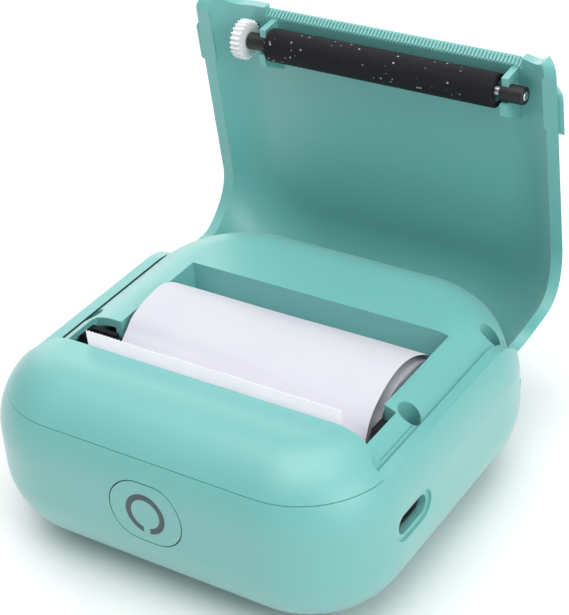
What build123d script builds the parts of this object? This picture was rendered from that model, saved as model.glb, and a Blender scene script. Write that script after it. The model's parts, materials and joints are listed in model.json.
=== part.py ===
"""Portable thermal printer with its hinged lid standing open.

Millimetres. X runs to the right, Y to the rear and Z up. The origin is the middle of the
flat bottom, under the middle of the closed body. Everything on the lid is modelled shut
and then turned open about the hinge.
"""
import math
import os

from build123d import *

# Closed body
body_width = 86.2
body_depth = 84.66
body_height = 37.5
front_corner_radius = 20.0
rear_corner_radius = 25.0
top_edge_radius = 14.4
bottom_edge_radius = 15.9
case_wall = 2.0
lid_height = 6.5
parting_gap = 0.15
flat_clearance = 0.3

# Lid
lid_wall = 2.0
lid_gap = 0.5
open_angle = 84.0
hinge_inset = 5.93
hinge_z = 18.9
panel_bottom_z = 13.3
skirt_radius = 7.6
skirt_reach = 18.4
skirt_corner_z = 20.0
tear_tip_y = -20.6
tear_tip_drop = 0.6
tear_overrun = 1.0
tear_face_height = 1.9
tear_face_run = 1.1
rib_count = 75
rib_depth = 0.3
rib_open = 0.7
pad_rear_y = -8.4
pad_length = 9.0
pad_bottom_z = 31.7
pad_top_z = 36.0
pad_proud = 1.1
pad_corner_radius = 1.0
lip_front_y = -23.9
lip_corner_radius = 3.0
snap_rear_y = -9.5
snap_length = 11.0
snap_height = 1.1
snap_inset = 5.6

# Hinge
hinge_pin_radius = 1.0
hinge_pin_length = 5.2
ear_wall = 1.4
ear_width = 2.6
ear_inner_x = 22.6
knuckle_width = 2.6
pin_fit = 0.05
trough_wall = 1.2
trough_end_inset = 8.6
knuckle_slot_height = 7.5

# Hump and deck
hump_rear_y = -21.9
hump_inset_left = 11.3
hump_inset_right = 9.6
hump_corner_run = 4.6
hump_corner_bulge = (0.62, 0.3)
hump_corner_drop = 3.0
hump_side_drop = 4.4
deck_wall = 1.8
skirt_depth = 2.6

# Paper
paper_width = 57.0
paper_centre_x = 2.6
roll_radius = 15.0
roll_y = 0.6
roll_bottom_z = 4.9
core_radius = 5.0
core_wall = 1.1
paper_thickness = 0.15
strip_rise = 2.7
strip_foot_y = -18.6
strip_foot_z = 27.0
web_turn = 2.6
web_start_angle = 55.0
web_crest = ((69.1, 1.27), (83.9, 2.0), (100.4, 2.69), (116.7, 3.25), (133.0, 3.47))

# Paper bay and the recess for the mechanism
bay_gap_left = 1.0
bay_gap_right = 0.9
bay_rear_lip = 0.6
bay_wall = 1.5
roll_clearance = 0.3
relief_clearance = 0.5
recess_reach = 6.1
recess_gap_left = 2.6
recess_gap_right = 0.4
recess_chamfer = 0.8

# Deck screws
screw_front_inset = 7.3
screw_rear_inset = 6.8
screw_front_y = -7.5
screw_rear_reach = 12.9
screw_hole_radius = 2.1
screw_tube_wall = 1.0
screw_seat_z = 22.0
screw_seat_wall = 1.6
screw_head_radius = 1.8
screw_head_height = 1.6
screw_shank_radius = 0.9
screw_shank_length = 9.0
boss_radius = 2.0
screw_hole_bottom_z = 6.0

# Platen on the lid, given with the lid shut
platen_y = -15.8
platen_radius = 3.4
platen_lid_gap = 0.45
platen_length = 51.2
platen_core_radius = 2.0
platen_shaft_radius = 1.0
rubber_edge_radius = 0.4
shaft_left_reach = 8.2
shaft_right_reach = 5.8
bushing_radius = 1.8
bushing_fit = 0.05
bushing_gap = 0.7
left_bushing_length = 4.5
right_bushing_length = 5.0
left_fork_gap = 0.6
right_fork_gap = 1.1
fork_width = 1.4
fork_front_reach = 3.5
fork_front_drop = 0.75
fork_rear_reach = 4.0
fork_rear_drop = 2.15
fork_root_reach = 8.7
fork_slot_narrowing = 0.6

# Gears
gear_module = 0.32
tooth_out = 0.8
tooth_in = 1.0
tip_share = 0.11
root_share = 0.3
mesh_play = 0.05
platen_teeth = 24
output_teeth = 24
compound_small_teeth = 12
compound_large_teeth = 40
pinion_teeth = 16
gear_gap = 0.2
gear_width = 2.2
large_gap = 0.4
gear_pin_radius = 0.6
gear_bore_fit = 0.05
output_tilt = 13.7

# Motor and mechanism frame
motor_y = -31.9
motor_drop = 5.65
motor_radius = 6.0
motor_length = 14.0
motor_shaft_radius = 0.75
frame_plate = 1.4
frame_left_gap = 0.7
frame_right_gap = 3.2
frame_right_width = 2.0
frame_bottom_drop = 12.25
frame_top_drop = 0.25
frame_box_gap = 1.4
frame_box_wall = 1.0
frame_box_rise = 0.65
beam_y = -25.6
beam_top_rise = 2.35
notch_clearance = 0.3
frame_tab_width = 8.0
frame_tab_x = (-6.0, 22.0)
frame_tab_y = -30.0
frame_tab_drop = 6.05

# Print head
head_tilt = 15.0
head_slot_side = 2.0
head_gap = 0.8
head_overrun = 0.8
head_height = 8.0
head_plate = 0.9
sink_thickness = 1.6
spring_radius = 1.6
spring_wire = 0.4
spring_x = (-12.0, 17.0)
flex_x = 5.0
flex_width = 18.0
flex_thickness = 0.3
flex_bend = 1.5
flex_top_y = -20.6
flex_end_y = -24.0
flex_plug_depth = 3.0
flex_plug_height = 2.0
flex_plug_side = 1.0
sensor_size = (4.0, 1.3, 1.6)
sensor_x = -6.0

# Circuit board and what is on it
board_motor_gap = 0.2
board_thickness = 1.2
board_left_x = -24.0
board_rear_y = -18.0
board_tongue_gap = 0.2
board_tongue_y = -13.6
board_posts = ((-20.0, -32.0), (28.0, -33.0), (20.0, -21.0))
post_radius = 2.4

# USB-C socket
usb_y = -19.3
usb_lift = 0.02
usb_width = 8.94
usb_height = 3.26
usb_shell_wall = 0.3
usb_length = 7.4
usb_opening = (9.8, 4.0)
usb_recess = (12.2, 6.4, 0.5)
usb_set_back = 1.2
usb_tongue = (6.0, 6.7, 0.7)

# Power button
button_x = 0.75
button_z = 21.0
button_width = 15.6
button_height = 12.4
button_gap = 0.25
button_travel = 0.8
button_bore_depth = 10.6
button_flange = (18.0, 8.4, 0.8)
button_flange_gap = 0.5
switch_size = (6.0, 3.6, 3.6)
button_stem_radius = 1.5
button_stem_length = 1.6
ring_radius = 4.3
ring_band = 1.2
ring_depth = 0.6
ring_gap = 1.4

# Small screws
frame_screw_radius = 0.9
board_screw_radius = 0.9
board_screw_head = 1.8
board_screw_height = 1.2
board_screw_length = 5.0

# Battery
battery_size = (48.0, 8.2, 23.0)
battery_z = 4.6
battery_gap = 0.6
battery_edge_radius = 2.0

far = 200.0
deck_inset = lid_wall + lid_gap
parting_height = body_height - lid_height
front_y = -body_depth / 2
hinge_y = body_depth / 2 - hinge_inset
hinge_axis = Axis((0, hinge_y, hinge_z), (1, 0, 0))
ear_radius = hinge_pin_radius + ear_wall
scoop_radius = math.hypot(body_depth / 2 - hinge_y, hinge_z - panel_bottom_z) + flat_clearance
swing_radius = skirt_radius + flat_clearance
swing_start_x = ear_inner_x + ear_width + flat_clearance
skirt_corner_y = hinge_y - skirt_reach
trough_front_y = hinge_y - scoop_radius - trough_wall
trough_half_length = body_width / 2 - trough_end_inset
hump_line_left = hump_inset_left - body_width / 2
hump_line_right = body_width / 2 - hump_inset_right
snap_inner_x = body_width / 2 - snap_inset
screw_front_x = body_width / 2 - screw_front_inset
screw_rear_x = body_width / 2 - screw_rear_inset
screw_rear_y = hinge_y - screw_rear_reach
tear_tip_z = body_height - tear_tip_drop
tear_length = paper_width + tear_overrun
strip_top_z = body_height + strip_rise
platen_left_x = paper_centre_x - platen_length / 2
platen_right_x = paper_centre_x + platen_length / 2
paper_left_x = paper_centre_x - paper_width / 2
paper_right_x = paper_centre_x + paper_width / 2
roll_z = roll_bottom_z + roll_radius
bay_left_x = paper_left_x - bay_gap_left
bay_right_x = paper_right_x + bay_gap_right
bay_rear_y = roll_y + roll_radius - bay_rear_lip
platen_z = body_height - lid_wall - platen_lid_gap - platen_radius
shaft_left_x = platen_left_x - shaft_left_reach
shaft_right_x = platen_right_x + shaft_right_reach
recess_rear_y = platen_y + recess_reach
recess_left_x = shaft_left_x - recess_gap_left
recess_right_x = shaft_right_x + recess_gap_right
left_bushing_x = platen_left_x - bushing_gap
right_bushing_x = platen_right_x + bushing_gap
gear_inner_x = left_bushing_x - left_bushing_length - gear_gap
gear_outer_x = gear_inner_x - gear_width
large_inner_x = gear_outer_x - large_gap
large_outer_x = large_inner_x - gear_width
frame_left_x = gear_inner_x + frame_left_gap
frame_right_x = platen_right_x + frame_right_gap
frame_box_x = large_outer_x - frame_box_gap
frame_bottom_z = platen_z - frame_bottom_drop
frame_top_z = platen_z - frame_top_drop
frame_box_z = platen_z + frame_box_rise
frame_rear_y = recess_rear_y - flat_clearance
frame_tab_z = platen_z - frame_tab_drop
beam_top_z = platen_z + beam_top_rise
motor_z = platen_z - motor_drop
head_face_distance = platen_radius + head_gap
board_top_z = motor_z - motor_radius - board_screw_height - board_motor_gap
usb_z = board_top_z + usb_height / 2 + usb_lift
usb_back_x = body_width / 2 - usb_recess[2] - usb_set_back - usb_length
recess_floor_z = frame_bottom_z - flat_clearance
head_slot_top_z = body_height - case_wall - flat_clearance
knuckle_mid_x = ear_inner_x - flat_clearance - knuckle_width / 2


def pitch_radius(teeth):
    return teeth * gear_module / 2


def along(start, angle, distance):
    """The point at a distance from start, both in Y and Z, at an angle from +Y."""
    turn = math.radians(angle)
    return (start[0] + distance * math.cos(turn), start[1] + distance * math.sin(turn))


def save(piece, name, on_lid=False):
    """Label a finished piece and write it. What belongs to the lid is turned open first."""
    shape = piece.part.rotate(hinge_axis, -open_angle) if on_lid else piece.part
    shape.label = name
    export_step(shape, f"parts/{name}.step")


def envelope(inset):
    """The closed body's rounded block, drawn in by inset on every side."""
    with BuildPart() as block:
        with BuildSketch(Plane.XY.offset(inset)) as plan:
            Rectangle(body_width - 2 * inset, body_depth - 2 * inset)
            front = plan.vertices().group_by(Axis.Y)[0]
            fillet(front, front_corner_radius - inset)
            rear = plan.vertices().group_by(Axis.Y)[-1]
            fillet(rear, rear_corner_radius - inset)
        extrude(amount=body_height - 2 * inset)
        fillet(block.faces().sort_by(Axis.Z)[-1].edges(), top_edge_radius - inset)
        fillet(block.faces().sort_by(Axis.Z)[0].edges(), bottom_edge_radius - inset)
    return block.part


def behind_hump(gap):
    """Everything behind the hump's rear line, which bends forward at both sides."""
    rear_y = hump_rear_y + gap
    bulge_run = hump_corner_bulge[0] * hump_corner_run
    bulge_drop = hump_corner_bulge[1] * hump_corner_drop
    left_bend = (hump_line_left - hump_corner_run, rear_y - hump_corner_drop)
    left_mid = (hump_line_left - bulge_run, rear_y - bulge_drop)
    right_bend = (hump_line_right + hump_corner_run, rear_y - hump_corner_drop)
    right_mid = (hump_line_right + bulge_run, rear_y - bulge_drop)
    side_y = rear_y - hump_side_drop
    with BuildPart() as region:
        with BuildSketch(Plane.XY.offset(-far)):
            with BuildLine():
                Line((hump_line_left, rear_y), (hump_line_right, rear_y))
                ThreePointArc((hump_line_right, rear_y), right_mid, right_bend)
                Polyline(right_bend, (far, side_y), (far, far), (-far, far),
                         (-far, side_y), left_bend)
                ThreePointArc(left_bend, left_mid, (hump_line_left, rear_y))
            make_face()
        extrude(amount=2 * far)
    return region.part


def lid_space(gap):
    """Seen from the side, everything that the shut lid takes up, grown by gap."""
    skirt = skirt_radius + gap
    bottom_z = panel_bottom_z - gap
    rim_z = parting_height + flat_clearance - gap
    foot_y = hinge_y - math.sqrt(skirt**2 - (bottom_z - hinge_z) ** 2)
    corner_y = hinge_y - math.sqrt(skirt**2 - (skirt_corner_z - hinge_z) ** 2)
    start_y = skirt_corner_y - gap
    turn = math.cos(math.radians(45))
    mid = (start_y + turn * (corner_y - start_y), skirt_corner_z + turn * (rim_z - skirt_corner_z))
    with BuildPart() as region:
        with BuildSketch(Plane.YZ.offset(-far / 2)):
            with BuildLine():
                Polyline((foot_y, bottom_z), (far, bottom_z), (far, far), (-far, far),
                         (-far, rim_z), (start_y, rim_z))
                ThreePointArc((start_y, rim_z), mid, (corner_y, skirt_corner_z))
                ThreePointArc((corner_y, skirt_corner_z), (hinge_y - skirt, hinge_z),
                              (foot_y, bottom_z))
            make_face()
        extrude(amount=far)
    return region.part


def box_between(low, high, mode=Mode.ADD):
    """A box from its lowest to its highest corner."""
    size = [b - a for a, b in zip(low, high)]
    with Locations(tuple(a + s / 2 for a, s in zip(low, size))):
        Box(*size, mode=mode)


def rod_between(x_from, x_to, centre, radius, mode=Mode.ADD):
    """A round bar along X about a centre in Y and Z."""
    with Locations(Location(((x_from + x_to) / 2, *centre), (0, 90, 0))):
        Cylinder(radius, x_to - x_from, mode=mode)


os.makedirs("parts", exist_ok=True)
outer = envelope(0)
inside_case = envelope(case_wall)
inside_lid = envelope(lid_wall)
deck_block = envelope(deck_inset)
inside_deck = envelope(deck_inset + deck_wall)
case_room = envelope(case_wall + flat_clearance)
screw_spots = [(side * x, y) for side in (-1, 1)
               for x, y in ((screw_front_x, screw_front_y), (screw_rear_x, screw_rear_y))]
platen_axis = (platen_y, platen_z)
roll_axis = (roll_y, roll_z)
hinge_centre = (hinge_y, hinge_z)


# Lower case: the tub with its rounded bottom, hinge trough, bosses and openings
with BuildPart() as lower_case:
    add(outer)
    with BuildSketch(Plane.XY.offset(parting_height)):
        Rectangle(far, far)
    extrude(amount=far, mode=Mode.SUBTRACT)
    add(inside_case, mode=Mode.SUBTRACT)
    for spot in screw_spots:
        with BuildSketch(Plane.XY.offset(case_wall / 2)):
            with Locations(spot):
                Circle(boss_radius)
        extrude(amount=screw_seat_z - screw_seat_wall - flat_clearance / 2 - case_wall / 2)
    for spot in board_posts:
        with BuildSketch(Plane.XY.offset(case_wall / 2)):
            with Locations(spot):
                Circle(post_radius)
        extrude(amount=board_top_z - board_thickness - case_wall / 2)
    rod_between(-far / 4, far / 4, hinge_centre, scoop_radius + trough_wall)
    with BuildSketch(Plane.XY.offset(hinge_z)):
        with Locations((0, hinge_y)):
            Rectangle(far, 2 * (scoop_radius + 2 * trough_wall))
    extrude(amount=scoop_radius + 2 * trough_wall, mode=Mode.SUBTRACT)
    add(outer, mode=Mode.INTERSECT)
    rod_between(-trough_half_length, trough_half_length, hinge_centre, scoop_radius,
                Mode.SUBTRACT)
    add(lid_space(flat_clearance), mode=Mode.SUBTRACT)
    for spot in screw_spots + list(board_posts):
        with Locations((*spot, screw_seat_z)):
            Hole(screw_shank_radius, depth=screw_seat_z - screw_hole_bottom_z)
    with BuildSketch(Plane.XZ.offset(-front_y)):
        with Locations((button_x, button_z)):
            RectangleRounded(button_width + 2 * button_gap, button_height + 2 * button_gap,
                             button_height / 2)
    extrude(amount=-button_bore_depth, mode=Mode.SUBTRACT)
    with BuildSketch(Plane.YZ.offset(body_width / 2)):
        with Locations((usb_y, usb_z)):
            SlotOverall(usb_opening[0], usb_opening[1])
    extrude(amount=-3 * case_wall, mode=Mode.SUBTRACT)
    with BuildSketch(Plane.YZ.offset(body_width / 2)):
        with Locations((usb_y, usb_z)):
            SlotOverall(usb_recess[0], usb_recess[1])
    extrude(amount=-usb_recess[2], mode=Mode.SUBTRACT)
save(lower_case, "lower_case")


# Upper case: the hump in front, the deck, the paper bay and the two rear ears
with BuildPart() as hump:
    add(outer)
    add(inside_case, mode=Mode.SUBTRACT)
    add(behind_hump(0), mode=Mode.SUBTRACT)
    box_between((-far, -far, -far), (far, far, parting_height + parting_gap), Mode.SUBTRACT)

with BuildPart() as hump_wall:
    add(behind_hump(-bay_wall))
    add(behind_hump(0), mode=Mode.SUBTRACT)
    add(envelope(case_wall - flat_clearance / 2), mode=Mode.INTERSECT)
    box_between((-far, -far, -far), (far, far, parting_height), Mode.SUBTRACT)

with BuildPart() as deck:
    add(deck_block)
    add(inside_deck, mode=Mode.SUBTRACT)
    box_between((-far, -far, -far), (far, far, parting_height - skirt_depth), Mode.SUBTRACT)
    add(behind_hump(-bay_wall), mode=Mode.INTERSECT)

with BuildPart() as rear_skirt:
    add(deck_block)
    add(inside_deck, mode=Mode.SUBTRACT)
    box_between((-far, trough_front_y, hinge_z), (far, far, parting_height),
                Mode.INTERSECT)

with BuildPart() as trough_wall_plate:
    box_between((-far / 2, trough_front_y, hinge_z + flat_clearance / 2),
                (far / 2, trough_front_y + trough_wall, body_height - deck_inset - deck_wall / 2))
    add(deck_block, mode=Mode.INTERSECT)

with BuildPart() as bay_walls:
    box_between((bay_left_x - bay_wall, roll_y - roll_radius - relief_clearance - bay_wall,
                 roll_z - roll_radius - roll_clearance - bay_wall),
                (bay_right_x + bay_wall, roll_y + roll_radius + relief_clearance + bay_wall,
                 body_height - deck_inset - deck_wall / 2))
    add(case_room, mode=Mode.INTERSECT)

with BuildPart() as upper_skin:
    add(deck_block)
    box_between((-far, -far, 0), (far, hump_rear_y - bay_wall, parting_height), Mode.SUBTRACT)
    add(hump.part)
    add(hump_wall.part)
    box_between((-body_width / 2 + boss_radius, front_y + boss_radius, roll_z),
                (body_width / 2 - boss_radius, hump_rear_y, body_height - case_wall))

with BuildPart() as recess:
    chamfer_y = recess_rear_y - recess_chamfer
    chamfer_x = recess_left_x + recess_chamfer
    with BuildSketch(Plane.XY.offset(recess_floor_z)):
        with BuildLine():
            Polyline((recess_left_x, hump_rear_y), (recess_left_x, chamfer_y),
                     (chamfer_x, recess_rear_y), (recess_right_x, recess_rear_y),
                     (recess_right_x, hump_rear_y), close=True)
        make_face()
    extrude(amount=far)
    under_z = frame_box_z + flat_clearance
    box_between((frame_box_x - flat_clearance, frame_tab_y, recess_floor_z),
                (frame_right_x + frame_right_width + flat_clearance, recess_rear_y, under_z))

with BuildPart() as upper_case:
    add(hump.part)
    add(hump_wall.part)
    add(deck.part)
    add(rear_skirt.part)
    add(trough_wall_plate.part)
    add(bay_walls.part)
    for spot in screw_spots:
        with BuildSketch(Plane.XY.offset(screw_seat_z - screw_seat_wall)):
            with Locations(spot):
                Circle(screw_hole_radius + screw_tube_wall)
        extrude(amount=body_height)
    for side in (-1, 1):
        ear_start_x = ear_inner_x if side > 0 else -ear_inner_x - ear_width
        rod_between(ear_start_x, ear_start_x + ear_width, hinge_centre, ear_radius)
        box_between((ear_start_x, trough_front_y, hinge_z),
                    (ear_start_x + ear_width, hinge_y + ear_radius, parting_height))
    add(upper_skin.part, mode=Mode.INTERSECT)
    box_between((bay_left_x, roll_y - roll_radius - flat_clearance,
                 roll_z - roll_radius - roll_clearance), (bay_right_x, bay_rear_y, far),
                Mode.SUBTRACT)
    rod_between(bay_left_x, bay_right_x, roll_axis, roll_radius + relief_clearance, Mode.SUBTRACT)
    add(recess.part, mode=Mode.SUBTRACT)
    box_between((platen_left_x - head_slot_side, hump_rear_y - 2 * bay_wall, frame_bottom_z),
                (platen_right_x + head_slot_side, hump_rear_y + flat_clearance, head_slot_top_z),
                Mode.SUBTRACT)
    for spot in screw_spots:
        with Locations((*spot, body_height)):
            CounterBoreHole(screw_shank_radius + flat_clearance, screw_hole_radius,
                            body_height - screw_seat_z)
    for side in (-1, 1):
        box_between((side * knuckle_mid_x - knuckle_width / 2 - flat_clearance,
                     hinge_y - scoop_radius, 0),
                    (side * knuckle_mid_x + knuckle_width / 2 + flat_clearance,
                     far, hinge_z + knuckle_slot_height), Mode.SUBTRACT)
        snap_x = snap_inner_x - flat_clearance
        box_between((snap_x if side > 0 else -far, snap_rear_y - snap_length - flat_clearance,
                     parting_height),
                    (far if side > 0 else -snap_x, snap_rear_y + flat_clearance,
                     parting_height + snap_height + 2 * flat_clearance), Mode.SUBTRACT)
        rod_between(min(side * swing_start_x, side * far), max(side * swing_start_x, side * far),
                    hinge_centre, swing_radius, Mode.SUBTRACT)
    rod_between(-far / 4, far / 4, hinge_centre, hinge_pin_radius, Mode.SUBTRACT)
    for tab_x in frame_tab_x:
        with BuildSketch(Plane.XY.offset(frame_tab_z + frame_plate)):
            with Locations((tab_x, frame_tab_y)):
                Circle(post_radius)
                Circle(frame_screw_radius, mode=Mode.SUBTRACT)
        extrude(amount=body_height - case_wall / 2 - frame_tab_z - frame_plate)
save(upper_case, "upper_case")


# Lid, modelled shut: the cover with its tear edge, forks, pads, snap ribs and knuckles
with BuildPart() as lip_cut:
    with BuildSketch(Plane.YZ.offset(-far / 2)):
        with Locations((lip_front_y - far / 2, parting_height)):
            Rectangle(far, far)
        with Locations((lip_front_y, parting_height)):
            Rectangle(2 * lip_corner_radius, 2 * (flat_clearance + lip_corner_radius))
        with Locations((lip_front_y + lip_corner_radius,
                        parting_height + flat_clearance + lip_corner_radius)):
            Circle(lip_corner_radius, mode=Mode.SUBTRACT)
    extrude(amount=far)

with BuildPart() as lid_shell:
    add(outer)
    add(inside_lid, mode=Mode.SUBTRACT)
    add(lid_space(0), mode=Mode.INTERSECT)
    add(behind_hump(flat_clearance), mode=Mode.INTERSECT)
    add(lip_cut.part, mode=Mode.SUBTRACT)

with BuildPart() as grip_pads:
    add(envelope(-pad_proud))
    add(envelope(lid_wall / 2), mode=Mode.SUBTRACT)
    with BuildSketch(Plane.YZ.offset(-far / 2)):
        with Locations((pad_rear_y - pad_length / 2, (pad_bottom_z + pad_top_z) / 2)):
            RectangleRounded(pad_length, pad_top_z - pad_bottom_z, pad_corner_radius)
    extrude(amount=far, mode=Mode.INTERSECT)

with BuildPart() as snap_ribs:
    add(envelope(lid_wall / 2))
    box_between((-snap_inner_x, -far, 0), (snap_inner_x, far, far), Mode.SUBTRACT)
    box_between((-far, snap_rear_y - snap_length, parting_height + flat_clearance),
                (far, snap_rear_y, parting_height + flat_clearance + snap_height),
                Mode.INTERSECT)

with BuildPart() as tear_cut:
    tear_left_x = paper_centre_x - tear_length / 2
    slope_top = (tear_tip_y, tear_tip_z)
    slope_bottom = (tear_tip_y + tear_face_run, tear_tip_z - tear_face_height)
    with BuildSketch(Plane.YZ.offset(tear_left_x)):
        with BuildLine():
            Polyline((tear_tip_y, far), slope_top, slope_bottom,
                     (slope_bottom[0], parting_height), (-far, parting_height), (-far, far),
                     close=True)
        make_face()
    extrude(amount=tear_length)

with BuildPart() as tear_grooves:
    slope_plane = Plane(origin=(paper_centre_x, *slope_top), x_dir=(1, 0, 0),
                        z_dir=(0, slope_bottom[0] - slope_top[0], slope_bottom[1] - slope_top[1]))
    rib_pitch = tear_length / rib_count
    with BuildSketch(slope_plane.offset(-tear_face_height)):
        with GridLocations(rib_pitch, 1, rib_count, 1):
            Polygon((-rib_pitch * rib_open / 2, -rib_depth), (rib_pitch * rib_open / 2, -rib_depth),
                    (0, rib_depth), align=None)
    extrude(amount=2.5 * tear_face_height)

with BuildPart() as forks:
    fork_front_z = platen_z - fork_front_drop
    fork_rear_z = platen_z - fork_rear_drop
    fork_root_z = body_height - lid_wall / 2
    for fork_x in (platen_left_x - left_fork_gap - fork_width, platen_right_x + right_fork_gap):
        with BuildSketch(Plane.YZ.offset(fork_x)):
            with BuildLine():
                Polyline((platen_y - fork_front_reach, fork_root_z),
                         (platen_y - fork_front_reach, fork_front_z), (platen_y, fork_front_z),
                         (platen_y, fork_rear_z), (platen_y + fork_rear_reach, fork_rear_z),
                         (platen_y + fork_root_reach, fork_root_z), close=True)
            make_face()
            with Locations(platen_axis):
                Circle(bushing_radius + bushing_fit, mode=Mode.SUBTRACT)
            with Locations((platen_y, platen_z - bushing_radius)):
                Rectangle(2 * bushing_radius - fork_slot_narrowing, 2 * bushing_radius,
                          mode=Mode.SUBTRACT)
        extrude(amount=fork_width)

with BuildPart() as knuckles:
    for side in (-1, 1):
        start_x = side * knuckle_mid_x - knuckle_width / 2
        rod_between(start_x, start_x + knuckle_width, hinge_centre, ear_radius)
        box_between((start_x, hinge_y, hinge_z - ear_radius),
                    (start_x + knuckle_width, far, hinge_z + ear_radius))
    add(envelope(lid_wall / 2), mode=Mode.INTERSECT)

with BuildPart() as lid_cover:
    add(lid_shell.part)
    add(grip_pads.part)
    add(snap_ribs.part)
    add(tear_cut.part, mode=Mode.SUBTRACT)
    add(tear_grooves.part, mode=Mode.SUBTRACT)
    add(forks.part)
    add(knuckles.part)
    rod_between(-far / 4, far / 4, hinge_centre, hinge_pin_radius + pin_fit, Mode.SUBTRACT)
    rod_between(gear_inner_x - gear_width - flat_clearance, gear_inner_x + flat_clearance,
                platen_axis, pitch_radius(platen_teeth) + gear_module + flat_clearance,
                Mode.SUBTRACT)
save(lid_cover, "lid_cover", on_lid=True)


# Platen: steel shaft with its thick core, rubber, two bushings and the gear
with BuildPart() as platen_shaft:
    rod_between(shaft_left_x, shaft_right_x, platen_axis, platen_shaft_radius)
    rod_between(platen_left_x, platen_right_x, platen_axis, platen_core_radius)
    chamfer(platen_shaft.edges().group_by(Axis.X)[-1], platen_shaft_radius / 5)
save(platen_shaft, "platen_shaft", on_lid=True)

with BuildPart() as platen_rubber:
    rod_between(platen_left_x, platen_right_x, platen_axis, platen_radius)
    fillet(platen_rubber.edges().filter_by(GeomType.CIRCLE), rubber_edge_radius)
    rod_between(platen_left_x, platen_right_x, platen_axis, platen_core_radius, Mode.SUBTRACT)
save(platen_rubber, "platen_rubber", on_lid=True)

with BuildPart() as platen_bushings:
    rod_between(left_bushing_x - left_bushing_length, left_bushing_x, platen_axis, bushing_radius)
    rod_between(right_bushing_x, right_bushing_x + right_bushing_length, platen_axis, bushing_radius)
    chamfer(platen_bushings.edges().filter_by(GeomType.CIRCLE), bushing_radius / 8)
    rod_between(shaft_left_x, shaft_right_x, platen_axis, platen_shaft_radius + bushing_fit,
                Mode.SUBTRACT)
save(platen_bushings, "platen_bushings", on_lid=True)


def gear_rim(teeth, x_from, width, centre, first_tooth):
    """A spur gear's toothed disc between two X planes, its first tooth at an angle from +Y."""
    pitch = 360 / teeth
    inner = pitch_radius(teeth) - tooth_in * gear_module
    outer_radius = pitch_radius(teeth) + tooth_out * gear_module
    points = []
    for tooth in range(teeth):
        middle = first_tooth + tooth * pitch
        points += [along(centre, middle - root_share * pitch, inner),
                   along(centre, middle - tip_share * pitch, outer_radius),
                   along(centre, middle + tip_share * pitch, outer_radius),
                   along(centre, middle + root_share * pitch, inner)]
    with BuildPart() as rim:
        with BuildSketch(Plane.YZ.offset(x_from)):
            with BuildLine():
                Polyline(points, close=True)
            make_face()
        extrude(amount=width)
    return rim.part


def meshed_tooth(teeth, driver_teeth, driver_tooth, angle):
    """The first tooth's angle of a gear that meshes with its driver, seen at an angle from it."""
    share = (angle - driver_tooth) * driver_teeth / 360
    return angle + 180 - (0.5 - share) * 360 / teeth


# Gear train: output gear under the platen gear, compound gear, motor pinion
output_angle = 270 - output_tilt
output_centre = along(platen_axis, output_angle,
                      pitch_radius(platen_teeth) + pitch_radius(output_teeth) + mesh_play)
motor_centre = (motor_y, motor_z)
compound_reach = pitch_radius(output_teeth) + pitch_radius(compound_small_teeth) + mesh_play
pinion_reach = pitch_radius(compound_large_teeth) + pitch_radius(pinion_teeth) + mesh_play
span = math.dist(output_centre, motor_centre)
span_angle = math.degrees(math.atan2(motor_z - output_centre[1], motor_y - output_centre[0]))
span_bend = math.degrees(math.acos((compound_reach**2 + span**2 - pinion_reach**2)
                                   / (2 * compound_reach * span)))
compound_angle = span_angle + span_bend
compound_centre = along(output_centre, compound_angle, compound_reach)
pinion_angle = math.degrees(math.atan2(motor_z - compound_centre[1],
                                       motor_y - compound_centre[0]))
output_tooth = meshed_tooth(output_teeth, platen_teeth, 0, output_angle)
small_tooth = meshed_tooth(compound_small_teeth, output_teeth, output_tooth, compound_angle)
pinion_tooth = meshed_tooth(pinion_teeth, compound_large_teeth, 0, pinion_angle)
gear_bore = gear_pin_radius + gear_bore_fit

platen_rim = gear_rim(platen_teeth, gear_outer_x, gear_width, platen_axis, 0)
output_rim = gear_rim(output_teeth, gear_outer_x, gear_width, output_centre, output_tooth)
small_rim = gear_rim(compound_small_teeth, large_inner_x, gear_inner_x - large_inner_x,
                     compound_centre, small_tooth)
large_rim = gear_rim(compound_large_teeth, large_outer_x, gear_width, compound_centre, 0)
pinion_rim = gear_rim(pinion_teeth, large_outer_x, gear_width, motor_centre, pinion_tooth)

with BuildPart() as platen_gear:
    add(platen_rim)
    rod_between(gear_outer_x, gear_inner_x, platen_axis, platen_shaft_radius, Mode.SUBTRACT)
save(platen_gear, "platen_gear", on_lid=True)

with BuildPart() as output_gear:
    add(output_rim)
    rod_between(gear_outer_x, gear_inner_x, output_centre, gear_bore, Mode.SUBTRACT)
save(output_gear, "output_gear")

with BuildPart() as compound_gear:
    add(large_rim)
    add(small_rim)
    rod_between(large_outer_x, gear_inner_x, compound_centre, gear_bore, Mode.SUBTRACT)
save(compound_gear, "compound_gear")

with BuildPart() as motor_pinion:
    add(pinion_rim)
    rod_between(large_outer_x, frame_left_x + frame_plate + motor_length / 2, motor_centre,
                motor_shaft_radius)
save(motor_pinion, "motor_pinion")

with BuildPart() as gear_pins:
    rod_between(frame_box_x + frame_box_wall, frame_left_x, compound_centre, gear_pin_radius)
    rod_between(large_inner_x + gear_bore_fit, frame_left_x, output_centre, gear_pin_radius)
save(gear_pins, "gear_pins")

# Stepper motor behind the frame's left plate
with BuildPart() as stepper_motor:
    motor_face_x = frame_left_x + frame_plate
    rod_between(motor_face_x, motor_face_x + motor_length, motor_centre, motor_radius)
    chamfer(stepper_motor.edges().filter_by(GeomType.CIRCLE), motor_radius / 12)
    rod_between(motor_face_x, motor_face_x + motor_length / 2 + gear_bore_fit, motor_centre,
                motor_shaft_radius + gear_bore_fit, Mode.SUBTRACT)
save(stepper_motor, "stepper_motor")

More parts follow.
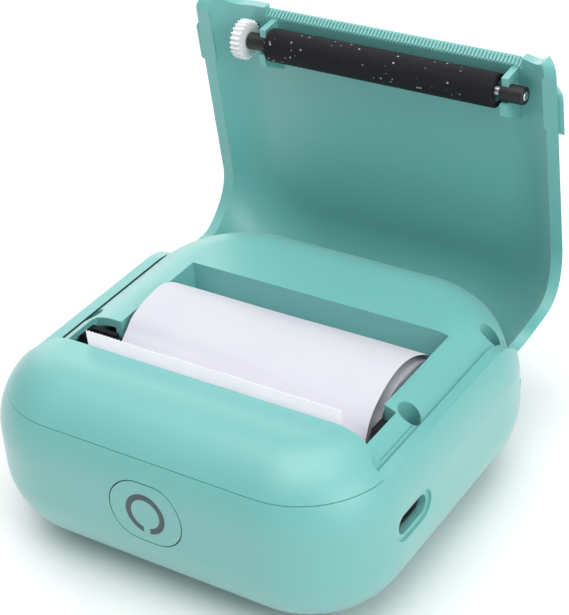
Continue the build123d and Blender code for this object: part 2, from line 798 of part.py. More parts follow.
# Mechanism frame: gear box on the left, plate on the right and the beam between them
with BuildPart() as mechanism_frame:
    plate_low = (frame_left_x, motor_y - motor_radius, frame_bottom_z)
    box_between(plate_low, (frame_left_x + frame_plate, frame_rear_y, frame_top_z))
    box_between((frame_box_x, plate_low[1], frame_bottom_z),
                (frame_box_x + frame_box_wall, frame_rear_y, frame_box_z))
    box_between((frame_box_x, frame_rear_y - frame_box_wall, frame_bottom_z),
                (frame_left_x, frame_rear_y, frame_box_z))
    box_between((frame_right_x, beam_y, frame_bottom_z),
                (frame_right_x + frame_right_width, frame_rear_y, frame_top_z))
    box_between((frame_left_x, beam_y, frame_tab_z),
                (frame_right_x + frame_right_width, beam_y + frame_plate, beam_top_z))
    for tab_x in frame_tab_x:
        box_between((tab_x - frame_tab_width / 2, frame_tab_y - frame_tab_width / 2, frame_tab_z),
                    (tab_x + frame_tab_width / 2, beam_y + frame_plate, frame_tab_z + frame_plate))
    add(envelope(case_wall + flat_clearance), mode=Mode.INTERSECT)
    notch = bushing_radius + notch_clearance
    rod_between(-far / 4, far / 4, platen_axis, notch, Mode.SUBTRACT)
    box_between((-far / 4, platen_y - notch, platen_z), (far / 4, platen_y + notch, far),
                Mode.SUBTRACT)
    rod_between(frame_left_x, frame_left_x + frame_plate, motor_centre,
                motor_shaft_radius + flat_clearance, Mode.SUBTRACT)
    for tab_x in frame_tab_x:
        with Locations((tab_x, frame_tab_y, frame_tab_z + frame_plate)):
            Hole(frame_screw_radius, depth=frame_plate)
save(mechanism_frame, "mechanism_frame")

# Print head, leaning back along the paper, with its heatsink, springs and flat cable
head_plane = Plane(origin=(paper_centre_x, *platen_axis),
                   x_dir=(1, 0, 0),
                   z_dir=(0, -math.cos(math.radians(head_tilt)), -math.sin(math.radians(head_tilt))))
with BuildPart() as print_head:
    with BuildSketch(head_plane.offset(head_face_distance)):
        Rectangle(platen_length + head_overrun, head_height)
    extrude(amount=head_plate)
save(print_head, "print_head")

with BuildPart() as head_heatsink:
    with BuildSketch(head_plane.offset(head_face_distance + head_plate)):
        Rectangle(platen_length + head_overrun, head_height)
    extrude(amount=sink_thickness)
save(head_heatsink, "head_heatsink")

sink_back_y = head_heatsink.part.bounding_box().min.Y
spring_z = head_heatsink.part.bounding_box().max.Z - head_height / 2
with BuildPart() as head_springs:
    for x in spring_x:
        with BuildSketch(Plane.XZ.offset(-(beam_y + frame_plate))):
            with Locations((x, spring_z)):
                Circle(spring_radius)
                Circle(spring_radius - spring_wire, mode=Mode.SUBTRACT)
        extrude(amount=-(sink_back_y - beam_y - frame_plate))
save(head_springs, "head_springs")

# Circuit board with the parts that it carries
flange_back_y = front_y + case_wall + button_flange_gap + button_flange[2]
stem_end_y = flange_back_y + button_stem_length
with BuildPart() as main_board:
    with BuildSketch(Plane.XY.offset(board_top_z - board_thickness)) as board_plan:
        with BuildLine():
            tongue_x = usb_back_x - board_tongue_gap
            Polyline((board_left_x, -far), (board_left_x, board_rear_y), (tongue_x, board_rear_y),
                     (tongue_x, board_tongue_y),
                     (far, board_tongue_y), (far, -far), close=True)
        make_face()
    extrude(amount=board_thickness)
    add(case_room, mode=Mode.INTERSECT)
    button_room_x = button_flange[0] / 2 + flat_clearance
    box_between((button_x - button_room_x, -far, 0),
                (button_x + button_room_x, flange_back_y + button_travel + flat_clearance,
                 body_height), Mode.SUBTRACT)
    for spot in board_posts:
        with Locations((*spot, board_top_z)):
            Hole(board_screw_radius + flat_clearance / 3, depth=board_thickness)
save(main_board, "main_board")

with BuildPart() as usb_c_shell:
    with BuildSketch(Plane.YZ.offset(usb_back_x)):
        with Locations((usb_y, usb_z)):
            SlotOverall(usb_width, usb_height)
    extrude(amount=usb_length)
    with BuildSketch(Plane.YZ.offset(usb_back_x + usb_shell_wall)):
        with Locations((usb_y, usb_z)):
            SlotOverall(usb_width - 2 * usb_shell_wall, usb_height - 2 * usb_shell_wall)
    extrude(amount=usb_length, mode=Mode.SUBTRACT)
save(usb_c_shell, "usb_c_shell")

with BuildPart() as usb_c_tongue:
    box_between((usb_back_x + usb_shell_wall, usb_y - usb_tongue[1] / 2, usb_z - usb_tongue[2] / 2),
                (usb_back_x + usb_shell_wall + usb_tongue[0], usb_y + usb_tongue[1] / 2,
                 usb_z + usb_tongue[2] / 2))
save(usb_c_tongue, "usb_c_tongue")

with BuildPart() as button_switch:
    switch_front_y = stem_end_y + button_travel + flat_clearance
    box_between((button_x - switch_size[0] / 2, switch_front_y, board_top_z),
                (button_x + switch_size[0] / 2, switch_front_y + switch_size[1],
                 board_top_z + switch_size[2]))
save(button_switch, "button_switch")

with BuildPart() as flex_connector:
    plug_half_width = flex_width / 2 + flex_plug_side
    box_between((flex_x - plug_half_width, flex_end_y - flex_plug_depth, board_top_z),
                (flex_x + plug_half_width, flex_end_y, board_top_z + flex_plug_height))
save(flex_connector, "flex_connector")

flex_z = board_top_z + flex_plug_height / 2
flex_top_z = head_heatsink.part.bounding_box().min.Z - flat_clearance
with BuildPart() as head_flex_cable:
    with BuildSketch(Plane.YZ.offset(flex_x - flex_width / 2)):
        with BuildLine() as flex_line:
            FilletPolyline((flex_top_y, flex_top_z), (flex_top_y, flex_z), (flex_end_y, flex_z),
                           radius=flex_bend)
            offset(amount=flex_thickness, side=Side.LEFT, closed=True)
        make_face()
    extrude(amount=flex_width)
save(head_flex_cable, "head_flex_cable")

with BuildPart() as paper_sensor:
    sensor_y = roll_y - roll_radius - relief_clearance - flat_clearance
    box_between((sensor_x - sensor_size[0] / 2, sensor_y - sensor_size[1], recess_floor_z),
                (sensor_x + sensor_size[0] / 2, sensor_y, recess_floor_z + sensor_size[2]))
save(paper_sensor, "paper_sensor")

# Battery pouch in the rear compartment, on its foam pad
battery_rear_y = trough_front_y - battery_gap
battery_front_y = battery_rear_y - battery_size[1]
with BuildPart() as battery:
    box_between((-battery_size[0] / 2, battery_front_y, battery_z),
                (battery_size[0] / 2, battery_rear_y, battery_z + battery_size[2]))
    fillet(battery.edges().filter_by(Axis.X), battery_edge_radius)
save(battery, "battery")

with BuildPart() as battery_pad:
    box_between((-battery_size[0] / 3, battery_front_y + battery_edge_radius, case_wall),
                (battery_size[0] / 3, battery_rear_y - battery_edge_radius, battery_z))
save(battery_pad, "battery_pad")


def screw(spots, seat_z, head_radius, head_height, shank_radius, length):
    """Pan-head screws pointing down, their heads standing on seat_z."""
    with BuildPart() as screws:
        for spot in spots:
            with Locations((*spot, seat_z + head_height / 2)):
                Cylinder(head_radius, head_height)
            with Locations((*spot, seat_z - length / 2)):
                Cylinder(shank_radius, length)
        fillet(screws.edges().group_by(Axis.Z)[-1], head_height / 3)
        for spot in spots:
            with Locations((*spot, seat_z + head_height)):
                Box(1.5 * head_radius, head_radius / 3, head_height, mode=Mode.SUBTRACT)
                Box(head_radius / 3, 1.5 * head_radius, head_height, mode=Mode.SUBTRACT)
    return screws


case_screws = screw(screw_spots, screw_seat_z, screw_head_radius, screw_head_height,
                    screw_shank_radius, screw_shank_length)
save(case_screws, "case_screws")

board_screws = screw(board_posts, board_top_z, board_screw_head, board_screw_height,
                     board_screw_radius, board_screw_length)
save(board_screws, "board_screws")

with BuildPart() as frame_screws:
    for tab_x in frame_tab_x:
        with Locations((tab_x, frame_tab_y, frame_tab_z - board_screw_height / 2)):
            Cylinder(board_screw_head, board_screw_height)
        with Locations((tab_x, frame_tab_y, frame_tab_z + board_screw_length / 2)):
            Cylinder(frame_screw_radius, board_screw_length)
save(frame_screws, "frame_screws")

with BuildPart() as hinge_pins:
    for side in (-1, 1):
        pin_outer_x = side * (ear_inner_x + ear_width)
        pin_inner_x = pin_outer_x - side * hinge_pin_length
        rod_between(min(pin_outer_x, pin_inner_x), max(pin_outer_x, pin_inner_x), hinge_centre,
                    hinge_pin_radius)
save(hinge_pins, "hinge_pins")

# Paper: the roll on its core and the loose web that runs to the torn strip
with BuildPart() as paper_roll:
    rod_between(paper_left_x, paper_right_x, roll_axis, roll_radius)
    rod_between(paper_left_x, paper_right_x, roll_axis, core_radius, Mode.SUBTRACT)
save(paper_roll, "paper_roll")

with BuildPart() as paper_core:
    rod_between(paper_left_x, paper_right_x, roll_axis, core_radius)
    rod_between(paper_left_x, paper_right_x, roll_axis, core_radius - core_wall, Mode.SUBTRACT)
save(paper_core, "paper_core")

with BuildPart() as paper_web:
    web_start = along(roll_axis, web_start_angle, roll_radius + flat_clearance)
    strip_low = (strip_foot_y, strip_foot_z)
    strip_lean = math.tan(math.radians(head_tilt))
    strip_top = (strip_foot_y - strip_lean * (strip_top_z - strip_foot_z), strip_top_z)
    crest = [along(roll_axis, angle, roll_radius + rise) for angle, rise in web_crest]
    web_route = [web_start, *crest, (strip_foot_y + web_turn, strip_foot_z), strip_low]
    web_heading = along((0, 0), web_start_angle + 90, 1)
    with BuildSketch(Plane.YZ.offset(paper_left_x)):
        with BuildLine():
            for start, end in zip(web_route, web_route[1:]):
                bend = TangentArc(start, end, tangent=web_heading)
                web_heading = bend % 1
            Line(strip_low, strip_top)
            offset(amount=paper_thickness, side=Side.LEFT, closed=True)
        make_face()
    extrude(amount=paper_width)
save(paper_web, "paper_web")

# Power button with its light ring, following the front's curve
with BuildPart() as ring_space:
    with BuildSketch(Plane.XZ.offset(-front_y)):
        with Locations((button_x, button_z)):
            Circle(ring_radius)
            Circle(ring_radius - ring_band, mode=Mode.SUBTRACT)
        with Locations((button_x, button_z - ring_radius)):
            Rectangle(ring_gap, 2 * ring_radius, mode=Mode.SUBTRACT)
    extrude(amount=-ring_depth)

with BuildPart() as power_button:
    with BuildSketch(Plane.XZ.offset(-front_y)):
        with Locations((button_x, button_z)):
            RectangleRounded(button_width, button_height, button_height / 2 - button_gap)
    extrude(amount=-(case_wall + button_flange_gap))
    with BuildSketch(Plane.XZ.offset(-front_y - case_wall - button_flange_gap)):
        with Locations((button_x, button_z)):
            Rectangle(button_flange[0], button_flange[1])
    extrude(amount=-button_flange[2])
    with BuildSketch(Plane.XZ.offset(-flange_back_y)):
        with Locations((button_x, button_z)):
            Circle(button_stem_radius)
    extrude(amount=-button_stem_length)
    add(outer, mode=Mode.INTERSECT)
    add(ring_space.part, mode=Mode.SUBTRACT)
save(power_button, "power_button")

with BuildPart() as button_light_ring:
    add(ring_space.part)
    add(outer, mode=Mode.INTERSECT)
save(button_light_ring, "button_light_ring")
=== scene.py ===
"""The looks of the portable thermal printer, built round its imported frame.

Lengths are metres, in the frame's own axes, except where a heading says millimetres.
"""
import json
import math

import bpy
import numpy as np
from mathutils import Matrix, Vector


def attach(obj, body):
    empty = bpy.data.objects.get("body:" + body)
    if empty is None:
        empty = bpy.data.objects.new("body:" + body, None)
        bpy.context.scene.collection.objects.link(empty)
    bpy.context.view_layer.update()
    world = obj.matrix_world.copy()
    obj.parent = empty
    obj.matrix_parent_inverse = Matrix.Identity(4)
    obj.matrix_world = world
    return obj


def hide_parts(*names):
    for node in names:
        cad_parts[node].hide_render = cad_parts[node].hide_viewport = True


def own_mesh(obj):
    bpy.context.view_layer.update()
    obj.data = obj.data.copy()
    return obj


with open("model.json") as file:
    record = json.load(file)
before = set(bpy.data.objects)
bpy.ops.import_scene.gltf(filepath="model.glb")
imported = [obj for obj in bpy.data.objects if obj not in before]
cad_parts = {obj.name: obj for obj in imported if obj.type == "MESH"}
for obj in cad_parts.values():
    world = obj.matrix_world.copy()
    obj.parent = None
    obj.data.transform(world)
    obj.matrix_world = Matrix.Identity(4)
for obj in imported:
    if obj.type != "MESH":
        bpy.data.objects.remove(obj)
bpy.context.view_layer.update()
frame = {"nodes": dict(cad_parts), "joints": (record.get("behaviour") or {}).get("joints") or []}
nodes = frame["nodes"]
MM = 0.001


# Shader nodes

def shader(name, color, rough, metallic=0.0, coat=0.0):
    """A new material, with its node tree and its main shader."""
    mat = bpy.data.materials.new(name)
    mat.use_nodes = True
    tree = mat.node_tree
    tree.nodes.clear()
    out = tree.nodes.new("ShaderNodeOutputMaterial")
    main = tree.nodes.new("ShaderNodeBsdfPrincipled")
    tree.links.new(main.outputs["BSDF"], out.inputs["Surface"])
    main.inputs["Base Color"].default_value = (*color, 1)
    main.inputs["Roughness"].default_value = rough
    main.inputs["Metallic"].default_value = metallic
    main.inputs["Coat Weight"].default_value = coat
    return mat, tree, main


def object_coords(tree):
    return tree.nodes.new("ShaderNodeTexCoord").outputs["Object"]


def noise(tree, coords, scale, detail=4.0):
    node = tree.nodes.new("ShaderNodeTexNoise")
    node.inputs["Scale"].default_value = scale
    node.inputs["Detail"].default_value = detail
    tree.links.new(coords, node.inputs["Vector"])
    return node.outputs["Fac"]


def spread(tree, value, low, high, from_low=0.3, from_high=0.7):
    """Map a texture's value to a range."""
    node = tree.nodes.new("ShaderNodeMapRange")
    node.inputs["From Min"].default_value = from_low
    node.inputs["From Max"].default_value = from_high
    node.inputs["To Min"].default_value = low
    node.inputs["To Max"].default_value = high
    tree.links.new(value, node.inputs["Value"])
    return node.outputs["Result"]


def mix(tree, factor, first, second):
    """Blend two colours by a texture."""
    node = tree.nodes.new("ShaderNodeMix")
    node.data_type = "RGBA"
    tree.links.new(factor, node.inputs["Factor"])
    node.inputs["A"].default_value = (*first, 1)
    node.inputs["B"].default_value = (*second, 1)
    return node.outputs["Result"]


def maths(tree, kind, operation, *values):
    """The outputs of a maths node, fed by other nodes' outputs or by plain values."""
    node = tree.nodes.new(kind)
    node.operation = operation
    for socket, value in zip(node.inputs, values):
        if isinstance(value, bpy.types.NodeSocket):
            tree.links.new(value, socket)
        else:
            socket.default_value = value
    return node.outputs


def bump(tree, main, height, depth):
    """Raise a surface by a texture, on top of any bump that it has already."""
    node = tree.nodes.new("ShaderNodeBump")
    node.inputs["Distance"].default_value = depth
    tree.links.new(height, node.inputs["Height"])
    if main.inputs["Normal"].is_linked:
        tree.links.new(main.inputs["Normal"].links[0].from_socket, node.inputs["Normal"])
    tree.links.new(node.outputs["Normal"], main.inputs["Normal"])


# Plastics, metals, films and other plain surfaces

drift_scale, drift_detail, grain_detail = 45.0, 2.0, 3.0
gloss_swing = 0.04


def grained(name, color, rough, grain, depth, shade=0.04, coat=0.0, metallic=0.0):
    """A surface with fine grain, uneven gloss and a slight drift of colour."""
    mat, tree, main = shader(name, color, rough, metallic, coat)
    coords = object_coords(tree)
    fine = noise(tree, coords, grain, grain_detail)
    wide = noise(tree, coords, drift_scale, drift_detail)
    gloss = spread(tree, wide, rough - gloss_swing, rough + gloss_swing)
    tree.links.new(gloss, main.inputs["Roughness"])
    dark = tuple(c * (1 - shade) for c in color)
    tree.links.new(mix(tree, spread(tree, wide, 0.0, 1.0), dark, color), main.inputs["Base Color"])
    bump(tree, main, fine, depth)
    return mat


def soft_mint():
    """The case's mint plastic, with soft highlights and a pale bloom."""
    mat = grained("mint_plastic", (0.158, 0.482, 0.456), rough=0.44, grain=2600.0, depth=12e-6,
                  shade=0.02, coat=0.8)
    softness = {"Coat Roughness": 0.40, "Sheen Weight": 0.22, "Sheen Roughness": 0.40,
                "Subsurface Weight": 0.06, "Subsurface Radius": (0.8, 1.0, 1.0),
                "Subsurface Scale": 0.0015}
    main = mat.node_tree.nodes["Principled BSDF"]
    for socket, value in softness.items():
        main.inputs[socket].default_value = value
    return mat


mint_plastic = soft_mint()
black_plastic = grained("black_plastic", (0.012, 0.012, 0.014), rough=0.5, grain=3000.0,
                        depth=10e-6, shade=0.2)
white_plastic = grained("white_plastic", (0.90, 0.91, 0.93), rough=0.35, grain=2200.0, depth=6e-6)
brass = grained("brass", (0.72, 0.52, 0.24), rough=0.28, grain=3500.0, depth=6e-6, shade=0.1,
                metallic=1.0)
aluminium = grained("aluminium", (0.72, 0.73, 0.75), rough=0.38, grain=2800.0, depth=10e-6,
                    shade=0.08, metallic=1.0)
circuit_board = grained("circuit_board", (0.01, 0.10, 0.05), rough=0.32, grain=1800.0,
                        depth=10e-6, shade=0.3)
flex_film = grained("flex_film", (0.62, 0.40, 0.16), rough=0.3, grain=900.0, depth=10e-6,
                    shade=0.1)
battery_wrap = grained("battery_wrap", (0.42, 0.44, 0.48), rough=0.35, grain=700.0, depth=60e-6,
                       shade=0.1, metallic=0.4)
foam = grained("foam", (0.05, 0.05, 0.05), rough=0.9, grain=2600.0, depth=100e-6, shade=0.4)
cardboard = grained("cardboard", (0.42, 0.29, 0.17), rough=0.85, grain=1600.0, depth=40e-6,
                    shade=0.2)
light_ring = grained("light_ring", (0.040, 0.085, 0.095), rough=0.30, grain=1500.0, depth=6e-6,
                     shade=0.15)
floor_white = grained("floor", (0.92, 0.92, 0.92), rough=0.55, grain=400.0, depth=10e-6,
                      shade=0.01)


# Turned steel, ceramic and rubber

def turned_steel():
    """Bright steel with fine rings left by the lathe."""
    mat, tree, main = shader("steel", (0.60, 0.60, 0.61), rough=0.25, metallic=1.0)
    stretch = tree.nodes.new("ShaderNodeMapping")
    stretch.inputs["Scale"].default_value = (8.0, 0.4, 0.4)
    tree.links.new(object_coords(tree), stretch.inputs["Vector"])
    rings = noise(tree, stretch.outputs["Vector"], scale=1800.0, detail=3.0)
    tree.links.new(spread(tree, rings, low=0.18, high=0.34), main.inputs["Roughness"])
    bump(tree, main, rings, depth=6e-6)
    return mat


def pale_ceramic():
    """The print head's smooth ceramic plate."""
    mat, tree, main = shader("head_ceramic", (0.62, 0.62, 0.60), rough=0.3)
    fine = noise(tree, object_coords(tree), scale=1500.0)
    shades = mix(tree, spread(tree, fine, 0, 1), (0.50, 0.50, 0.48), (0.66, 0.66, 0.64))
    tree.links.new(shades, main.inputs["Base Color"])
    bump(tree, main, fine, depth=4e-6)
    return mat


def dusty_rubber():
    """Matt black rubber with grinding marks and small pale specks."""
    black, dust = (0.008, 0.008, 0.010), (0.50, 0.51, 0.54)
    mat, tree, main = shader("rubber", black, rough=0.72)
    main.inputs["Specular IOR Level"].default_value = 0.25
    coords = object_coords(tree)
    marks = noise(tree, coords, scale=2400.0)
    cells = tree.nodes.new("ShaderNodeTexVoronoi")
    cells.inputs["Scale"].default_value = 800.0
    tree.links.new(coords, cells.inputs["Vector"])
    dots = spread(tree, cells.outputs["Distance"], 1.0, 0.0, from_low=0.10, from_high=0.20)
    sparse = noise(tree, coords, scale=330.0, detail=2.0)
    where = spread(tree, sparse, 0.0, 1.0, from_low=0.50, from_high=0.56)
    specks = maths(tree, "ShaderNodeMath", "MULTIPLY", dots, where)["Value"]
    tree.links.new(mix(tree, specks, black, dust), main.inputs["Base Color"])
    tree.links.new(spread(tree, marks, low=0.62, high=0.80), main.inputs["Roughness"])
    bump(tree, main, marks, depth=20e-6)
    return mat


steel = turned_steel()
head_ceramic = pale_ceramic()
rubber = dusty_rubber()


# Paper surfaces

turn_pitch = 0.00034


def paper_surface(name, color, grey):
    """Smooth coated paper, faintly clouded."""
    mat, tree, main = shader(name, color, rough=0.6)
    coords = object_coords(tree)
    wide = noise(tree, coords, scale=60.0, detail=3.0)
    fine = noise(tree, coords, scale=1400.0, detail=4.0)
    tree.links.new(mix(tree, spread(tree, wide, 0, 1), grey, color), main.inputs["Base Color"])
    tree.links.new(spread(tree, fine, low=0.54, high=0.68), main.inputs["Roughness"])
    bump(tree, main, fine, depth=4e-6)
    return mat, tree, main


def rolled_paper():
    """The roll's paper, with the edges of its turns as rings about the roll's axis."""
    mat, tree, main = paper_surface("paper_roll", (0.64, 0.64, 0.69), (0.61, 0.61, 0.665))
    axis = next(joint["pos_m"] for joint in frame["joints"] if joint["name"] == "paper_roll_spin")
    vector_node, number_node = "ShaderNodeVectorMath", "ShaderNodeMath"
    off_axis = maths(tree, vector_node, "SUBTRACT", object_coords(tree), axis)["Vector"]
    in_section = maths(tree, vector_node, "MULTIPLY", off_axis, (0.0, 1.0, 1.0))["Vector"]
    radius = maths(tree, vector_node, "LENGTH", in_section)["Value"]
    angle = maths(tree, number_node, "MULTIPLY", radius, 2 * math.pi / turn_pitch)["Value"]
    bump(tree, main, maths(tree, number_node, "SINE", angle)["Value"], depth=40e-6)
    return mat


def strip_surface():
    """The torn strip's paper. Its glow and the light through it match the photo."""
    mat, tree, main = paper_surface("paper_strip", (0.93, 0.92, 0.95), (0.89, 0.88, 0.92))
    # Painted light: this paper is a lighter copy of the roll's and web's paper, and its emission is
    # a painted glow
    main.inputs["Emission Color"].default_value = (1.0, 0.90, 0.93, 1)
    main.inputs["Emission Strength"].default_value = 0.34
    through = tree.nodes.new("ShaderNodeBsdfTranslucent")
    through.inputs["Color"].default_value = (0.95, 0.94, 0.97, 1)
    blend = tree.nodes.new("ShaderNodeMixShader")
    blend.inputs["Fac"].default_value = 0.55
    tree.links.new(main.outputs["BSDF"], blend.inputs[1])
    tree.links.new(through.outputs["BSDF"], blend.inputs[2])
    surface = tree.nodes["Material Output"].inputs["Surface"]
    tree.links.new(blend.outputs["Shader"], surface)
    return mat


paper = paper_surface("paper", (0.66, 0.66, 0.72), (0.635, 0.635, 0.70))[0]
strip_paper_painted_light = strip_surface()
roll_paper = rolled_paper()

finishes = {
    "lower_case": mint_plastic, "upper_case": mint_plastic, "lid_cover": mint_plastic,
    "power_button": mint_plastic, "button_light_ring": light_ring,
    "mechanism_frame": black_plastic, "platen_bushings": black_plastic,
    "button_switch": black_plastic, "paper_sensor": black_plastic, "output_gear": black_plastic,
    "compound_gear": black_plastic, "usb_c_tongue": black_plastic, "motor_pinion": brass,
    "print_head": head_ceramic, "head_heatsink": aluminium, "head_springs": steel,
    "stepper_motor": steel, "gear_pins": steel, "case_screws": steel, "board_screws": steel,
    "frame_screws": steel, "hinge_pins": steel, "platen_shaft": steel, "usb_c_shell": steel,
    "main_board": circuit_board, "flex_connector": white_plastic, "head_flex_cable": flex_film,
    "battery": battery_wrap, "battery_pad": foam, "paper_web": paper,
    "paper_roll": roll_paper, "paper_core": cardboard, "platen_rubber": rubber,
    "platen_gear": white_plastic,
}
for name, node in nodes.items():
    node.data.materials.clear()
    node.data.materials.append(finishes[name])


# Paper in millimetres: the loop over the roll, its way down and the torn strip

thickness = 0.1
crease_angle = math.radians(40)
span_steps = 24
split_steps, split_stride = 600, 6

web_left, web_right = -25.9, 31.1
web_columns, loop_rows, drop_rows = 61, 60, 40
# The loop meets the way down at this height. The routes are points (y, z) at the web's edges
level = 34.9
swell_height, swell_waves, swell_start = 0.12, 1.5, 0.6
left_route = ((9.6, 32.0), (8.2, 33.9), (6.5, 35.2), (4.3, 36.2), (2.0, 36.75), (-0.8, 36.6),
              (-3.2, 36.3), (-6.0, 35.6), (-7.8, 34.8), (-9.4, 33.4), (-10.9, 32.2), (-13.2, 29.8),
              (-15.6, 27.6), (-17.6, 26.9), (-18.6, 27.6), (-18.9, 28.6))
right_route = ((9.6, 32.0), (8.7, 33.6), (7.2, 34.8), (3.9, 36.6), (0.2, 37.7), (-3.2, 37.8),
               (-6.2, 37.2), (-8.4, 36.4), (-10.3, 35.4), (-12.2, 34.2), (-13.7, 32.6),
               (-14.8, 30.6), (-15.9, 28.3), (-17.4, 27.0), (-18.6, 27.6), (-18.9, 28.6))

strip_left, strip_right = -25.6, 30.3
strip_columns, strip_rows = 297, 30
strip_profile = ((-18.9, 28.6), (-20.0, 32.0), (-20.8, 34.5), (-21.25, 36.5), (-21.45, 38.5),
                 (-21.5, 40.3))
tooth_pitch, tooth_height, tooth_root = 0.77, 0.32, -0.1
tear_drift, tear_knots, tear_seed = 0.12, 14, 7


def resample(points, count):
    """Even steps along a smooth curve through points."""
    pts = np.array(points, float)
    padded = np.vstack([2 * pts[0] - pts[1], pts, 2 * pts[-1] - pts[-2]])
    dense = []
    for i in range(len(pts) - 1):
        p0, p1, p2, p3 = padded[i:i + 4]
        for t in np.linspace(0, 1, span_steps, endpoint=False):
            dense.append(0.5 * (2 * p1 + (p2 - p0) * t + (2 * p0 - 5 * p1 + 4 * p2 - p3) * t**2
                                + (3 * p1 - p0 - 3 * p2 + p3) * t**3))
    dense.append(pts[-1])
    dense = np.array(dense)
    gone = np.concatenate([[0], np.cumsum(np.linalg.norm(np.diff(dense, axis=0), axis=1))])
    even = np.linspace(0, gone[-1], count)
    return np.stack([np.interp(even, gone, dense[:, k]) for k in (0, 1)], 1)


def split_route(route):
    """Split a route where it last falls through the level, each part in even steps."""
    fine = resample(route, split_steps)
    last = max(i for i in range(len(fine) - 1) if fine[i, 1] >= level > fine[i + 1, 1])
    share = (fine[last, 1] - level) / (fine[last, 1] - fine[last + 1, 1])
    meet = fine[last] + share * (fine[last + 1] - fine[last])
    above = resample(np.vstack([fine[:last + 1:split_stride], meet]), loop_rows)
    below = resample(np.vstack([meet, fine[last + 1::split_stride], fine[-1]]), drop_rows)
    return above, below


def web_points(left, right, swell):
    """Rows of points from the left edge's route to the right edge's, with a slight swell."""
    shares = np.linspace(0, 1, web_columns)
    points = np.zeros((len(left), web_columns, 3))
    points[:, :, 0] = np.linspace(web_left, web_right, web_columns)
    for j, share in enumerate(shares):
        eased = share * share * (3 - 2 * share)
        points[:, j, 1:] = left + (right - left) * (0.5 * share + 0.5 * eased)
    along = np.sin(np.linspace(0, math.pi, len(left)))[:, None]
    points[:, :, 2] += swell * along * np.sin(shares * 2 * math.pi * swell_waves + swell_start)
    return points


def strip_points():
    """Rows of points up the torn strip, whose last row has the tear's teeth and its drift."""
    xs = np.linspace(strip_left, strip_right, strip_columns)
    points = np.zeros((strip_rows, strip_columns, 3))
    points[:, :, 0] = xs
    points[:, :, 1:] = resample(strip_profile, strip_rows)[:, None, :]
    rng = np.random.default_rng(tear_seed)
    knots = np.linspace(strip_left, strip_right, tear_knots)
    drift = np.interp(xs, knots, rng.uniform(-tear_drift, tear_drift, tear_knots))
    tooth = np.abs(((xs - strip_left) / tooth_pitch) % 1 - 0.5) * 2
    points[-1, :, 2] += tooth_height * tooth + drift + tooth_root
    return points


def sheet_mesh(name, points, finish):
    """A thin closed sheet through rows of points (x, y, z)."""
    rows, columns = points.shape[:2]
    normal = np.cross(np.gradient(points, axis=1), np.gradient(points, axis=0))
    normal /= np.linalg.norm(normal, axis=2, keepdims=True)
    vertices = np.concatenate([(points + normal * thickness / 2).reshape(-1, 3),
                               (points - normal * thickness / 2).reshape(-1, 3)]) * MM
    under = rows * columns
    faces = []
    for i in range(rows - 1):
        for j in range(columns - 1):
            a, b = i * columns + j, i * columns + j + 1
            c, d = a + columns, b + columns
            faces += [(a, b, d, c), (under + a, under + c, under + d, under + b)]
    rim = ([(0, j) for j in range(columns)] + [(i, columns - 1) for i in range(1, rows)]
           + [(rows - 1, j) for j in range(columns - 2, -1, -1)]
           + [(i, 0) for i in range(rows - 2, 0, -1)])
    for (i, j), (k, m) in zip(rim, rim[1:] + rim[:1]):
        a, b = i * columns + j, k * columns + m
        faces.append((b, a, under + a, under + b))
    mesh = bpy.data.meshes.new(name)
    mesh.from_pydata([tuple(p) for p in vertices], [], faces)
    mesh.update()
    mesh.polygons.foreach_set("use_smooth", [True] * len(mesh.polygons))
    mesh.set_sharp_from_angle(angle=crease_angle)
    mesh.validate()
    obj = bpy.data.objects.new(name, mesh)
    bpy.context.scene.collection.objects.link(obj)
    obj.data.materials.append(finish)
    return obj


left_above, left_below = split_route(left_route)
right_above, right_below = split_route(right_route)
web_loop = sheet_mesh("paper_web_loop", web_points(left_above, right_above, swell_height), paper)
web_drop = sheet_mesh("paper_web_drop", web_points(left_below, right_below, 0.0), paper)
strip = sheet_mesh("paper_strip", strip_points(), strip_paper_painted_light)

for piece in (web_loop, web_drop, strip):
    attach(piece, "root")
    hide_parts("paper_web")
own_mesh(web_loop)
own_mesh(web_drop)


# Floor and light

floor_size = 6.0
sky_strength = 0.34
light_aim = Vector((0, 0, 0.03))

bpy.ops.mesh.primitive_plane_add(size=floor_size, location=(0, 0, 0))
floor = bpy.context.object
floor.name = "floor"
floor.data.materials.append(floor_white)
bpy.context.scene.view_settings.view_transform = "Standard"

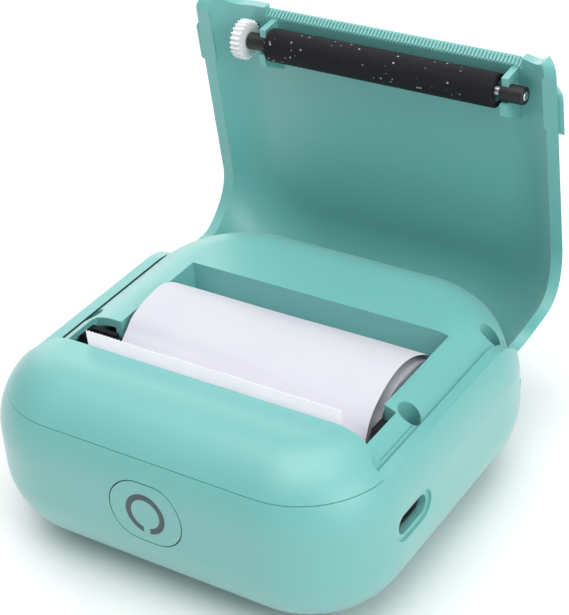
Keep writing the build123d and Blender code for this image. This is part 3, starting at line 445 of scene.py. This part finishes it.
world = bpy.data.worlds.new("studio")
world.use_nodes = True
sky = world.node_tree.nodes["Background"]
sky.inputs["Color"].default_value = (1.0, 1.0, 1.0, 1)
sky.inputs["Strength"].default_value = sky_strength
bpy.context.scene.world = world


def area_light(name, place, size, watts):
    """A rectangular light that shines at the printer."""
    lamp = bpy.data.lights.new(name, "AREA")
    lamp.shape = "RECTANGLE"
    lamp.size, lamp.size_y = size
    lamp.energy = watts
    obj = bpy.data.objects.new(name, lamp)
    bpy.context.scene.collection.objects.link(obj)
    obj.location = place
    obj.rotation_euler = (light_aim - Vector(place)).to_track_quat("-Z", "Y").to_euler()


area_light("key", place=(0.05, -0.10, 0.90), size=(0.9, 0.9), watts=7.4)
area_light("fill", place=(0.85, -0.25, 0.45), size=(0.6, 0.6), watts=3.6)
area_light("back", place=(-0.70, 1.00, 0.50), size=(1.6, 0.9), watts=8.0)


# The photo's camera in millimetres, solved from the object's edges

azimuth, elevation, roll = math.radians(34.733), math.radians(32.64), math.radians(-4.521)
# These are in the solution's own units, which the paper's width turns into millimetres
distance, shift_right, shift_up = 399.167, 6.966, 2.653
paper_millimetres, paper_units = 57, 64.5
solution_origin = Vector((2.6, 14.93, 35.3))
focal_pixels, photo_height_pixels = 1796.712, 615
sensor_millimetres = 36

back = Vector((math.sin(azimuth) * math.cos(elevation),
               -math.cos(azimuth) * math.cos(elevation), math.sin(elevation)))
level_right = Vector((math.cos(azimuth), math.sin(azimuth), 0))
level_up = back.cross(level_right)
right = math.cos(roll) * level_right + math.sin(roll) * level_up
up = -math.sin(roll) * level_right + math.cos(roll) * level_up
offset = (back * distance - right * shift_right - up * shift_up) * (paper_millimetres / paper_units)
place = (offset + solution_origin) * MM
turn = Matrix((right, up, back)).transposed().to_4x4()

camera = bpy.data.cameras.new("camera")
camera.sensor_fit = "AUTO"
camera.sensor_width = sensor_millimetres
camera.lens = focal_pixels * sensor_millimetres / photo_height_pixels
camera.clip_start = 0.01
camera.clip_end = 20
camera_object = bpy.data.objects.new("camera", camera)
bpy.context.scene.collection.objects.link(camera_object)
camera_object.matrix_world = Matrix.Translation(place) @ turn
bpy.context.scene.camera = camera_object
